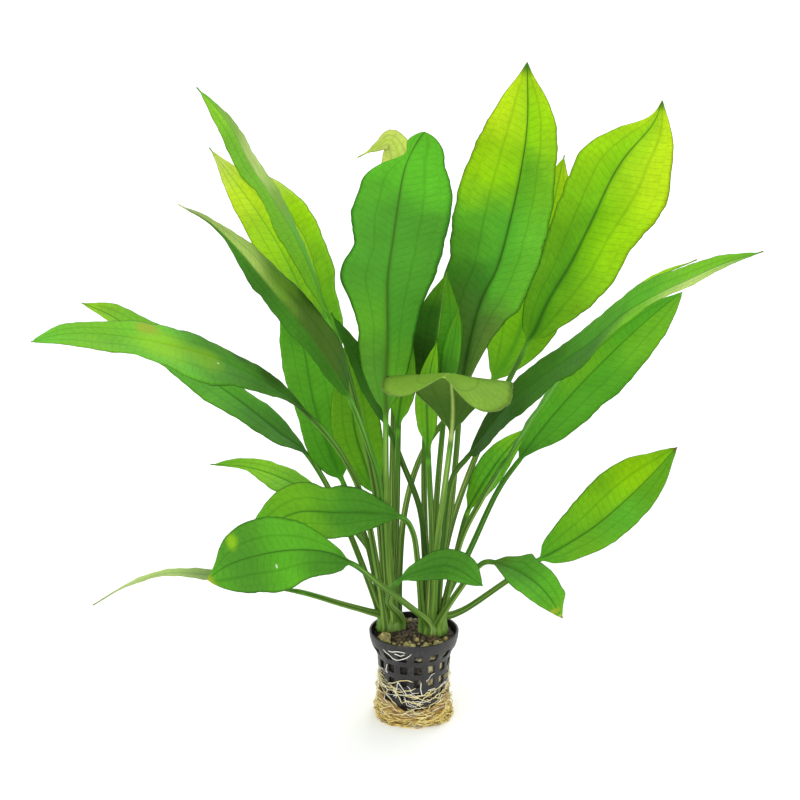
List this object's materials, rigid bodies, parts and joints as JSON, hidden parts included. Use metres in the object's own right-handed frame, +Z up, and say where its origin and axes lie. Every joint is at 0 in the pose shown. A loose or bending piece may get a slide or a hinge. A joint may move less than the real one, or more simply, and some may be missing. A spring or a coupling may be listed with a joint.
{
  "type": "potted aquarium plant",
  "caption": "Amazon sword plant with long oval leaves in two rosettes, standing in a small black net pot with its roots round the foot.",
  "frame": {"origin": "centre of the flat underside of the root mat that the plant stands on", "axes": "+Z up along the pot's axis, +X to the viewer's right and -Y towards the viewer of the picture"},
  "size_m": [0.381, 0.2232, 0.384],
  "materials": {
    "leaf_green": "semi-gloss, green to lime yellow",
    "pot_plastic": "satin black",
    "growing_medium": "damp, dull, with tan lumps",
    "root_felt": "matt, fibrous",
    "crown_stem": "matt"
  },
  "bodies": {
    "root": {"leaf_tall": "leaf_green", "leaf_upper_right": "leaf_green", "leaf_broad_front": "leaf_green", "leaf_back_centre": "leaf_green", "leaf_upper_left": "leaf_green", "leaf_left_yellow": "leaf_green", "leaf_left_back": "leaf_green", "leaf_left_folded": "leaf_green", "leaf_left_hanging": "leaf_green", "leaf_far_left": "leaf_green", "leaf_far_left_lower": "leaf_green", "leaf_low_left_back": "leaf_green", "leaf_low_left": "leaf_green", "leaf_low_left_front": "leaf_green", "leaf_trailing": "leaf_green", "leaf_curled_front": "leaf_green", "leaf_small_front": "leaf_green", "leaf_low_right_front": "leaf_green", "leaf_low_right": "leaf_green", "leaf_right_broad": "leaf_green", "leaf_far_right": "leaf_green", "leaf_right_edge": "leaf_green", "leaf_small_right": "leaf_green", "leaf_back_right": "leaf_green", "leaf_back_narrow": "leaf_green", "leaf_young": "leaf_green", "leaf_dark_narrow": "leaf_green", "leaf_left_inner": "leaf_green", "leaf_small_centre": "leaf_green", "leaf_small_pale": "leaf_green", "net_pot": "pot_plastic", "growing_medium": "growing_medium", "root_mat": "root_felt", "crown_left": "crown_stem", "crown_right": "crown_stem"}
  },
  "joints": []
}
